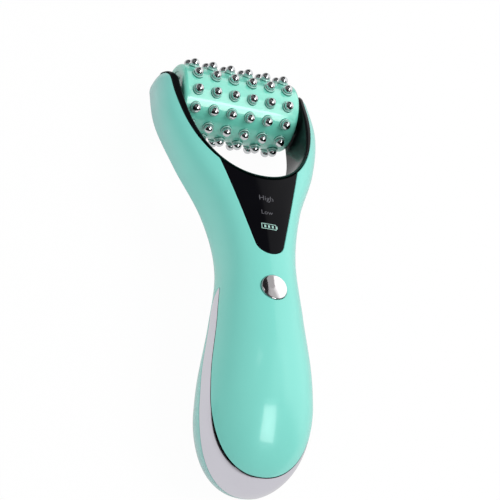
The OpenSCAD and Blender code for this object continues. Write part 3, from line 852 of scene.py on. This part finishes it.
def mintPlastic(name, look):
    # gloss mint, with a painted grey reflection that makes it greyer low on the sides
    f = Finish(name, Coat_Weight=look["coat"], Coat_Roughness=0.04, IOR=1.5, Coat_IOR=look["coatIor"])
    shade = f.blend(f.noise(look["cloud"], 2.0), look["deep"], look["pale"])
    # painted reflection: below a height the colour turns towards grey, standing for the floor seen at a grazing angle
    if "side" in look:
        height = f.turned(f.place(), (0, 0, 1))
        share = (1 - f.step(height, look["sideFrom"], look["sideTo"])) * look["sideReflectionShare"]
        shade = f.blend(share, shade, look["side"])
    if "ring" in look:
        # collars: a painted dark shade at the foot and a painted pale highlight on the top, told by their distance
        # from the axle
        up = f.turned(f.place(), (0, 1, 0)) - float(axle[1])
        out = f.turned(f.place(), (0, 0, 1)) - float(axle[2])
        square = up * up + out * out
        foot, rim = look["footShadeAt"], look["ringHighlightAt"]
        shade = f.blend(f.step(square, foot[0] ** 2, foot[1] ** 2), shade, look["foot"])
        shade = f.blend(f.step(square, rim[0] ** 2, rim[1] ** 2), shade, look["ring"])
    f.set("Base Color", shade)
    f.set("Roughness", look["rough"])
    f.bump(f.noise(look["peel"], 2.0), look["peelDepth"])
    return f.material


# side: the colour of the painted grey reflection low on the handle's sides
mintLook = {"deep": srgb(123, 214, 201), "pale": srgb(135, 223, 210), "cloud": 60, "rough": 0.27, "coat": 0.5,
            "peel": 1.6, "peelDepth": 0.0015, "coatIor": 1.5, "side": srgb(150, 192, 192), "sideFrom": 10,
            "sideTo": 36, "sideReflectionShare": 0.85}
# foot and ring: the painted shade at each collar's foot and the painted highlight on its top
drumLook = {"deep": srgb(108, 206, 184), "pale": srgb(116, 211, 190), "cloud": 30, "rough": 0.25, "coat": 1.0,
            "peel": 1.2, "peelDepth": 0.001, "coatIor": 1.55, "foot": srgb(50, 124, 110), "footShadeAt": (15.06, 15.12),
            "ring": srgb(160, 212, 200), "ringHighlightAt": (15.55, 15.6)}


def plating(name, look):
    f = Finish(name, Metallic=1.0)
    f.set("Base Color", f.blend(f.noise(look["cloud"], 2.0), look["deep"], look["pale"]))
    haze = f.noise(3.5, 5.0)
    f.set("Roughness", span(haze, look["rough"], look["rough"] + look["haze"]))
    f.bump(f.noise(look["wave"], 1.5), look["waveDepth"])
    return f.material


bandLook = {"deep": srgb(228, 226, 235), "pale": srgb(240, 238, 247), "cloud": 25, "rough": 0.08, "haze": 0.03,
            "wave": 9, "waveDepth": 0.006}
knobLook = {"deep": srgb(226, 222, 224), "pale": srgb(240, 236, 238), "cloud": 6, "rough": 0.06, "haze": 0.03,
            "wave": 5, "waveDepth": 0.003}
ballLook = {"deep": srgb(220, 222, 224), "pale": srgb(236, 238, 240), "cloud": 4, "rough": 0.05, "haze": 0.05,
            "wave": 2, "waveDepth": 0.001}


def blackGloss(name, look):
    f = Finish(name, Coat_Weight=look["coat"], Coat_Roughness=0.02, Specular_IOR_Level=look["shine"])
    shade = f.blend(f.noise(20, 2.0), look["deep"], look["pale"])
    if "lip" in look:
        # told by the mouth's own outline: 1 on its inner face, more outside it
        x = abs(f.turned(f.place(), (1, 0, 0)) / mouth["half"])
        y = (float(axle[1]) - f.turned(f.place(), (0, 1, 0))) | 0.001
        away = x.raised(mouth["power"]) + (y / mouth["depth"]).raised(mouth["power"])
        # painted reflection: the mouth's inner face turns dark green, standing for the mint drum reflected in it
        drumReflection = (1 - f.step(away, 1.06, 1.13)) * f.step(y, 30, 46)
        shade = f.blend(drumReflection, shade, look["lip"])
        f.set("Coat Weight", span(1 - f.step(away, 1.02, 1.05), look["coat"], look["lipCoat"]))
    f.set("Base Color", shade)
    f.set("Roughness", span(f.noise(5, 4.0), look["rough"], look["rough"] + 0.06))
    f.bump(f.noise(2.2, 2.0), look["peelDepth"])
    return f.material


# lip: the colour of the painted green reflection of the drum on the mouth's inner face
linerLook = {"deep": srgb(10, 12, 13), "pale": srgb(16, 17, 19), "rough": 0.12, "coat": 0.05, "shine": 0.05,
             "peelDepth": 0.001, "lip": srgb(20, 52, 46), "lipCoat": 0.08}
glassLook = {"deep": srgb(9, 9, 12), "pale": srgb(14, 14, 18), "rough": 0.06, "coat": 0.05, "shine": 0.06,
             "peelDepth": 0.0005}


def plainPlastic(name, shade, rough=0.5, grain=0.6, depth=0.01, coat=0.0):
    f = Finish(name, Coat_Weight=coat)
    deep = tuple(v * 0.82 for v in shade[:3]) + (1.0,)
    f.set("Base Color", f.blend(f.noise(grain * 6, 4.0), deep, shade))
    f.set("Roughness", span(f.noise(grain * 2, 4.0), rough - 0.06, rough + 0.08))
    f.bump(f.noise(grain, 3.0), depth)
    return f.material


def plainMetal(name, shade, rough=0.3, stretch=(1, 1, 1), depth=0.004):
    f = Finish(name, Metallic=1.0)
    lines = f.add("ShaderNodeVectorMath", {"operation": "MULTIPLY"}, {0: f.place(), 1: stretch})
    grain = f.noise(0.5, 3.0, lines)
    f.set("Base Color", f.blend(grain, tuple(v * 0.85 for v in shade[:3]) + (1.0,), shade))
    f.set("Roughness", span(grain, rough - 0.08, rough + 0.1))
    f.bump(grain, depth)
    return f.material


def boardFinish(name):
    # solder resist with a pattern of tracks under it
    f = Finish(name, Coat_Weight=0.3)
    tracks = f.add("ShaderNodeTexBrick", {"offset": 0.5},
                   {"Vector": f.place(), "Scale": 0.35, "Mortar Size": 0.06}, "Fac")
    f.set("Base Color", f.blend(tracks, srgb(16, 92, 58), srgb(34, 128, 80)))
    f.set("Roughness", span(f.noise(1.2, 3.0), 0.3, 0.42))
    f.bump(tracks, 0.02)
    return f.material


def windings(name):
    f = Finish(name, Metallic=1.0)
    rings = f.add("ShaderNodeTexWave", {"wave_type": "BANDS", "bands_direction": "Z"},
                  {"Vector": f.place(), "Scale": 1.2, "Distortion": 0.4})
    f.set("Base Color", f.blend(rings, srgb(120, 58, 28), srgb(196, 112, 62)))
    f.set("Roughness", span(rings, 0.28, 0.42))
    f.bump(rings, 0.05)
    return f.material


finishes = {
    "mint_shell": mintPlastic("mintShell", mintLook),
    "mint_roller": mintPlastic("mintRoller", drumLook),
    "plated_band": plating("platedBand", bandLook),
    "chrome_button": plating("buttonChrome", knobLook),
    "stud_chrome": plating("ballChrome", ballLook),
    "black_trim": blackGloss("linerBlack", linerLook),
    "display_black": blackGloss("displayGlass", glassLook),
    "faded_print": plainPlastic("fadedPrint", srgb(92, 92, 98), 0.4, 0.5, 0.0002),
    "mint_print": plainPlastic("mintPrint", srgb(166, 208, 198), 0.4, 0.5, 0.0002),
    "clear_guide": plainPlastic("clearGuide", srgb(225, 236, 240), 0.15, 1.5, 0.002, 0.4),
    "silicone": plainPlastic("silicone", srgb(228, 228, 222), 0.6, 0.5, 0.01),
    "switch_metal": plainMetal("switchTin", srgb(205, 207, 210), 0.35),
    "switch_black": plainPlastic("switchBlack", srgb(30, 30, 32), 0.5),
    "board_green": boardFinish("boardGreen"),
    "chip_black": plainPlastic("chipEpoxy", srgb(34, 35, 38), 0.55, 0.2, 0.01),
    "led_lens": plainPlastic("ledLens", srgb(240, 236, 200), 0.3, 0.5, 0.002, 0.3),
    "coil_copper": windings("coilCopper"),
    "cell_sleeve": plainPlastic("cellSleeve", srgb(52, 100, 170), 0.3, 1.4, 0.006, 0.4),
    "foam_grey": plainPlastic("foamGrey", srgb(96, 98, 102), 0.9, 0.35, 0.08),
    "socket_black": plainPlastic("socketNylon", srgb(30, 31, 34), 0.45, 0.4, 0.008),
    "screw_steel": plainMetal("screwSteel", srgb(190, 190, 194), 0.3),
    "lead_red": plainPlastic("leadSleeve", srgb(184, 44, 38), 0.45, 0.8, 0.004),
    "contact_bronze": plainMetal("contactBronze", srgb(214, 156, 98), 0.28, (1, 0.2, 1)),
    "axle_steel": plainMetal("axleSteel", srgb(196, 198, 204), 0.22, (0.15, 1, 1)),
    "bush_nylon": plainPlastic("bushAcetal", srgb(233, 228, 214), 0.4, 0.9, 0.004),
}


def dress(piece, slot):
    piece.data.materials.clear()
    piece.data.materials.append(finishes[slot])


for piece in (frontShell, rearShell, plated, window, forkLiner, button, drum, balls):
    dress(piece, piece["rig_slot"])
for sign in signs:
    dress(sign, "faded_print")
dress(icon, "mint_print")
slots = {part["node"]: part["material_slot"] for part in frame["record"]["subparts"]}
for name, node in frame["nodes"].items():
    for i in range(max(1, len(node.material_slots))):
        if node.material_slots:
            node.material_slots[i].material = finishes[slots[name]]
        else:
            node.data.materials.append(finishes[slots[name]])
print("finishes")


# camera at the photograph's angle

# across: the device's X axis in the picture's right, up and towards the viewer; shift and distance in mm
view = {"across": (0.921, -0.156, -0.358), "roll": 28.5, "shift": (8.654, -62.415), "distance": 860,
        "sensor": 36, "focal": 1952 * 36 / 500}
xAxis = np.array(view["across"])
xAxis /= np.linalg.norm(xAxis)
flatY = np.array((0, 1, 0)) - xAxis[1] * xAxis
flatY /= np.linalg.norm(flatY)
flatZ = np.cross(xAxis, flatY)
roll = math.radians(view["roll"])
yAxis = math.cos(roll) * flatY - math.sin(roll) * flatZ
zAxis = math.sin(roll) * flatY + math.cos(roll) * flatZ
turn = np.stack([xAxis, yAxis, zAxis], 1)     # rows: the picture's right, up and towards the viewer
eye = turn.T @ np.array((*view["shift"], view["distance"]))
cameraData = bpy.data.cameras.new("camera")
cameraData.lens = view["focal"]
cameraData.sensor_width = view["sensor"]
cameraData.clip_end = 20
camera = bpy.data.objects.new("camera", cameraData)
bpy.context.scene.collection.objects.link(camera)
place = Matrix(turn.T.tolist()).to_4x4()
place.translation = Vector(toRow(eye))
camera.matrix_world = place
bpy.context.scene.camera = camera
print("camera")


def toward(right, up, near):
    # a direction given in the picture's own right, up and towards the viewer
    d = turn.T @ np.array((right, up, near), float)
    return Vector(d / np.linalg.norm(d))


# the floor and what lights the piece: plain levels, the floor's reach in m
studio = {
    "floor": 0.9, "diffuse": 0.62, "key": 4.9, "side": 1.0, "paper": 0.97, "paperGloss": 0.68, "paperLeft": 0.35,
    "sky": 0.12, "reach": 3.0,
    # soft patches of the room that shiny parts reflect: direction, half width, half height, lean, softness, level
    "patches": (
        ((0.85, 0.40, 0.34), 0.75, 0.85, (0, 0), 0.25, 1.0),
        ((-0.10, 0.44, 0.89), 0.277, 0.50, (0, 0), 0.08, 0.02),
        ((0.03, 0.68, 0.73), 0.343, 0.33, (0, 0), 0.05, 0.02),
        ((-0.55, -0.70, 0.45), 0.60, 0.42, (0, 0), 0.20, 0.03),
        ((0.261, -0.555, 0.789), 0.165, 0.22, (-0.24, 0.42), 0.10, 5.6),
        ((-0.28, 0.24, 0.93), 0.10, 0.09, (0, 0), 0.10, 1.2),
    ),
    # a black card seen by reflection alone: its lower corners and its top, in mm about the axle
    "flag": {"from": (-80, -141, -8), "to": (-37, -232, 10), "top": 90},
    # lamps that only some pieces answer to: level, direction, distance and size in m, who, and whether mirrored
    "linked": {
        "drumStrip": (2.9, (0.34, -0.17, 0.93), 0.5, 0.14, 0.34, "drum balls", True),
        "drumSky": (1.5, (0.34, 0.62, 0.70), 0.5, 0.6, 0.62, "drum", True),
        "drumFill": (1.1, (0.1, -0.9, 0.42), 0.5, 0.5, 0.5, "drum", False),
        "buttonSky": (0.42, (0.55, 0.50, 0.67), 0.5, 0.475, 0.8, "button", True),
    },
}


floorMesh = bpy.data.meshes.new("floor")
reach = studio["reach"]
floorMesh.from_pydata([(-reach, -reach, 0), (reach, -reach, 0), (reach, reach, 0), (-reach, reach, 0)], [],
                      [(0, 1, 2, 3)])
floor = bpy.data.objects.new("floor", floorMesh)
bpy.context.scene.collection.objects.link(floor)
floor.location.z = -0.0002
paper = Finish("paper", Roughness=0.9)
paper.set("Base Color", (studio["floor"],) * 3 + (1.0,))
isCamera, isGlossy = (paper.add("ShaderNodeLightPath", output=ray) for ray in ("Is Camera Ray", "Is Glossy Ray"))
leftwards = paper.turned(paper.place(), (-1, 0, 0))
gloss = span(paper.step(leftwards, 60, 220), studio["paperGloss"], studio["paperLeft"])
glow = paper.add("ShaderNodeEmission", {}, {"Color": (1, 1, 1, 1), "Strength": isCamera + (1 - isCamera) * gloss})
mix = paper.add("ShaderNodeMixShader", {}, {0: (isCamera | isGlossy) * studio["paper"],
                                            1: Wire(paper, paper.shader.outputs[0]), 2: glow})
paper.tree.links.new(mix.socket, paper.tree.nodes["Material Output"].inputs["Surface"])
floorMesh.materials.append(paper.material)

world = bpy.data.worlds.new("studio")
world.use_nodes = True
bpy.context.scene.world = world
room = Nodes(world.node_tree)
bearing = room.add("ShaderNodeTexCoord", output="Generated")


def patch(direction, halfWidth, halfHeight, lean, soft):
    # 1 inside a soft rectangle round a direction, 0 well outside
    ahead = Vector(direction).normalized()
    side = Vector((0, 0, 1)).cross(ahead).normalized()
    rise = ahead.cross(side)
    near = room.turned(bearing, tuple(ahead))
    across, over = side + rise * lean[0], rise + side * lean[1]
    wide, high = (abs(room.turned(bearing, tuple(way))) for way in (across, over))
    out = (wide / halfWidth) | (high / halfHeight)
    return (1 - room.step(out / (near | 0.05), 1 - soft, 1 + soft)) * room.step(near, 0.0, 0.05)


level = studio["sky"]
for direction, halfWidth, halfHeight, lean, soft, target in studio["patches"]:
    amount = patch(direction, halfWidth, halfHeight, lean, soft)
    level = level * (1 - amount) + amount * target
isCamera, isGlossy = (room.add("ShaderNodeLightPath", output=ray) for ray in ("Is Camera Ray", "Is Glossy Ray"))
strength = isGlossy * level + (1 - isGlossy) * studio["diffuse"]
strength = isCamera + (1 - isCamera) * strength
background = world.node_tree.nodes["Background"]
background.inputs["Color"].default_value = (1, 1, 1, 1)
room.feed(background.inputs["Strength"], strength)

spot = studio["flag"]
flagMesh = bpy.data.meshes.new("flag")
lowFrom, lowTo = toRow((spot["from"], spot["to"]))
flagMesh.from_pydata([lowFrom, lowTo, (*lowTo[:2], spot["top"] / 1000), (*lowFrom[:2], spot["top"] / 1000)], [],
                     [(0, 1, 2, 3)])
flag = bpy.data.objects.new("flag", flagMesh)
bpy.context.scene.collection.objects.link(flag)
flag.visible_camera = flag.visible_diffuse = flag.visible_shadow = flag.visible_transmission = False
velvet = Finish("velvet", Roughness=1.0, Specular_IOR_Level=0.0)
velvet.set("Base Color", (0.003, 0.003, 0.003, 1))
flagMesh.materials.append(velvet.material)


def softbox(name, aim, direction, distance, width, height, power):
    # an area lamp: its width lies along the device's X axis, its height square to that
    data = bpy.data.lights.new(name, "AREA")
    data.shape, data.size, data.size_y = "RECTANGLE", width, height
    data.energy = power
    lamp = bpy.data.objects.new(name, data)
    bpy.context.scene.collection.objects.link(lamp)
    target = Vector(toRow(aim))
    back = direction.normalized()
    side = (Vector((1, 0, 0)) - back * back.x).normalized()
    stance = Matrix((side, back.cross(side), back)).transposed().to_4x4()
    stance.translation = target + back * distance
    lamp.matrix_world = stance
    lamp.visible_glossy = False
    return lamp


softbox("keyLight", (0, -80, 20), toward(0.75, 0.35, 0.55), 0.9, 0.5, 0.6, studio["key"])
softbox("sideLight", (0, -80, 20), toward(-0.9, 0.2, 0.35), 0.9, 0.3, 0.6, studio["side"])

aims = {"drum": (0, 0, 15), "balls": (0, 0, 15), "button": (0, knob["y"], 35)}
answering = {"drum": drum, "balls": balls, "button": button}
for name, (strong, direction, distance, width, height, who, mirrored) in studio["linked"].items():
    who = who.split()
    lamp = softbox(name, aims[who[0]], Vector(direction), distance, width, height,
                   strong * math.pi * width * height)
    lamp.visible_glossy, lamp.visible_diffuse = mirrored, not mirrored
    group = bpy.data.collections.new(name)
    for piece in who:
        group.objects.link(answering[piece])
    lamp.light_linking.receiver_collection = group

bpy.context.scene.view_settings.view_transform = "Standard"
print("floor and light")


print("scene ready")
